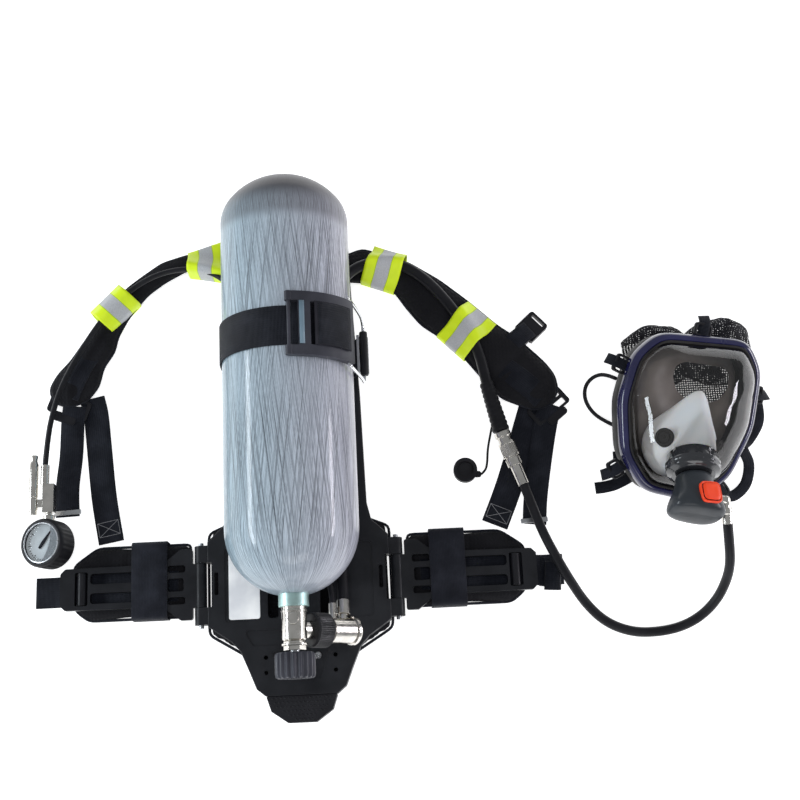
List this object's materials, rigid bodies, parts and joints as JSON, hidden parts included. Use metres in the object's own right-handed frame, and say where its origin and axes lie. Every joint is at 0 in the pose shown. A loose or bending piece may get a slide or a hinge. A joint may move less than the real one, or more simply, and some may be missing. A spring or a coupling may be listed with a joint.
{
  "type": "air pack",
  "caption": "Self-contained breathing apparatus: composite cylinder strapped to a backplate with harness, valve, reducer, gauge hose and supply hose to a full face mask.",
  "frame": {"origin": "on the floor plane of the back pad's wearer face, under the cylinder's axis", "axes": "+Z away from the wearer, +Y along the cylinder towards its dome (up when worn), +X to the side where the mask lies"},
  "size_m": [0.9534, 0.662, 0.2143],
  "materials": {
    "composite_wrap": "glossy resin over grey fibre",
    "liner_aluminium": "satin",
    "moulded_rubber": "satin",
    "plate_composite": "fine grain",
    "zinc_steel": "satin",
    "label_white": "satin",
    "pad_fabric": "woven",
    "black_plastic": "satin",
    "black_webbing": "woven",
    "reflective_lime": "fluorescent with a grey stripe",
    "lever_plastic": "satin",
    "bright_wire": "bright",
    "nickel_brass": "nickel plate",
    "plain_brass": "turned",
    "knurled_black": "knurled",
    "hose_rubber": "fabric-marked",
    "dial_white": "flat",
    "clear_lens": "clear",
    "needle_black": "flat",
    "frame_blue": "gloss",
    "clear_visor": "clear",
    "seal_rubber": "matte",
    "cup_silicone": "translucent",
    "smoky_ring": "gloss",
    "net_fabric": "open mesh",
    "valve_plastic": "fine grain",
    "button_orange": "satin",
    "black_cord": "braided"
  },
  "bodies": {
    "root": {"cylinder_wrap": "composite_wrap", "cylinder_liner": "liner_aluminium", "cylinder_cradle": "moulded_rubber", "backplate": "plate_composite", "plate_fasteners": "zinc_steel", "info_plate": "label_white", "base_bumper": "moulded_rubber", "back_pad": "pad_fabric", "shoulder_pads": "pad_fabric", "reflective_bands": "reflective_lime", "shoulder_webbing": "black_webbing", "strap_buckles": "black_plastic", "cylinder_strap": "black_webbing", "strap_anchor": "zinc_steel", "valve_body": "nickel_brass", "valve_fittings": "nickel_brass", "reducer_body": "nickel_brass", "reducer_cap": "nickel_brass", "reducer_spring": "zinc_steel", "hose_fittings": "nickel_brass", "supply_hose_upper": "hose_rubber", "hose_boot": "moulded_rubber", "coupling_socket": "nickel_brass", "dust_cap": "moulded_rubber", "dust_cap_cord": "hose_rubber", "gauge_hose": "hose_rubber", "gauge_manifold": "nickel_brass", "alarm_whistle": "nickel_brass"},
    "valve_wheel": {"valve_handwheel": "moulded_rubber", "valve_spindle": "zinc_steel"},
    "coupling_nut": {"coupling_ring": "knurled_black"},
    "piston": {"reducer_piston": "plain_brass"},
    "left_wing": {"left_hip_plate": "black_plastic", "left_hip_pad": "pad_fabric", "left_waist_webbing": "black_webbing"},
    "right_wing": {"right_hip_plate": "black_plastic", "right_hip_pad": "pad_fabric", "right_waist_webbing": "black_webbing"},
    "left_roller": {"left_belt_roller": "black_plastic"},
    "right_roller": {"right_belt_roller": "black_plastic"},
    "lever": {"strap_lever": "lever_plastic"},
    "bail": {"strap_bail": "bright_wire"},
    "gauge_head": {"gauge_case": "moulded_rubber", "gauge_dial": "dial_white", "gauge_lens": "clear_lens"},
    "needle": {"gauge_needle": "needle_black"},
    "release_sleeve": {"coupling_sleeve": "nickel_brass"},
    "mask": {"coupling_plug": "nickel_brass", "supply_hose": "hose_rubber", "hose_elbow": "nickel_brass", "mask_frame": "frame_blue", "visor": "clear_visor", "face_seal": "seal_rubber", "inner_mask": "cup_silicone", "demand_port_ring": "smoky_ring", "head_harness": "net_fabric", "demand_valve_body": "valve_plastic", "demand_diaphragm": "seal_rubber", "neck_cord": "black_cord"},
    "button": {"demand_button": "button_orange"}
  },
  "joints": [
    {"name": "valve_turn", "type": "hinge", "parent": "root", "child": "valve_wheel", "pos_m": [0, -0.31, 0.118], "axis": [0, -1, 0], "range_deg": [0, 720]},
    {"name": "coupling_nut_turn", "type": "hinge", "parent": "root", "child": "coupling_nut", "pos_m": [0, -0.273, 0.118], "axis": [0.766, 0, -0.6428], "continuous": true},
    {"name": "piston_travel", "type": "slide", "parent": "root", "child": "piston", "axis": [-0.766, 0, 0.6428], "range_m": [0, 0.0015], "stiffness_N_per_m": 8000},
    {"name": "left_hip_hinge", "type": "hinge", "parent": "root", "child": "left_wing", "pos_m": [-0.121, -0.2055, 0.019], "axis": [0, 1, 0], "range_deg": [-50, 0]},
    {"name": "right_hip_hinge", "type": "hinge", "parent": "root", "child": "right_wing", "pos_m": [0.121, -0.2055, 0.019], "axis": [0, 1, 0], "range_deg": [0, 50]},
    {"name": "left_roller_turn", "type": "hinge", "parent": "left_wing", "child": "left_roller", "pos_m": [-0.268, -0.2035, 0.02], "axis": [0, 1, 0], "continuous": true},
    {"name": "right_roller_turn", "type": "hinge", "parent": "right_wing", "child": "right_roller", "pos_m": [0.268, -0.2035, 0.02], "axis": [0, 1, 0], "continuous": true},
    {"name": "lever_open", "type": "hinge", "parent": "root", "child": "lever", "pos_m": [0.00925, 0.068, 0.20602], "axis": [0, -1, 0], "range_deg": [0, 80]},
    {"name": "bail_swing", "type": "hinge", "parent": "lever", "child": "bail", "pos_m": [0.07578, 0.068, 0.16175], "axis": [0, -1, 0], "range_deg": [0, 50]},
    {"name": "gauge_swivel", "type": "hinge", "parent": "root", "child": "gauge_head", "pos_m": [-0.309, -0.146, 0.027], "axis": [0, 1, 0], "range_deg": [-90, 90]},
    {"name": "needle_turn", "type": "hinge", "parent": "gauge_head", "child": "needle", "pos_m": [-0.309, -0.146, 0.027], "axis": [0.342, 0, -0.9397], "range_deg": [0, 270], "stiffness_Nm_per_rad": 0.0002},
    {"name": "sleeve_pull", "type": "slide", "parent": "root", "child": "release_sleeve", "axis": [-0.3192, 0.9477, 0], "range_m": [0, 0.005], "stiffness_N_per_m": 1200},
    {"name": "plug_pull", "type": "slide", "parent": "root", "child": "mask", "axis": [0.3192, -0.9477, 0], "range_m": [0, 0.03]},
    {"name": "button_press", "type": "slide", "parent": "mask", "child": "button", "axis": [-0.3104, -0.2384, -0.9202], "range_m": [0, 0.003], "stiffness_N_per_m": 600}
  ]
}
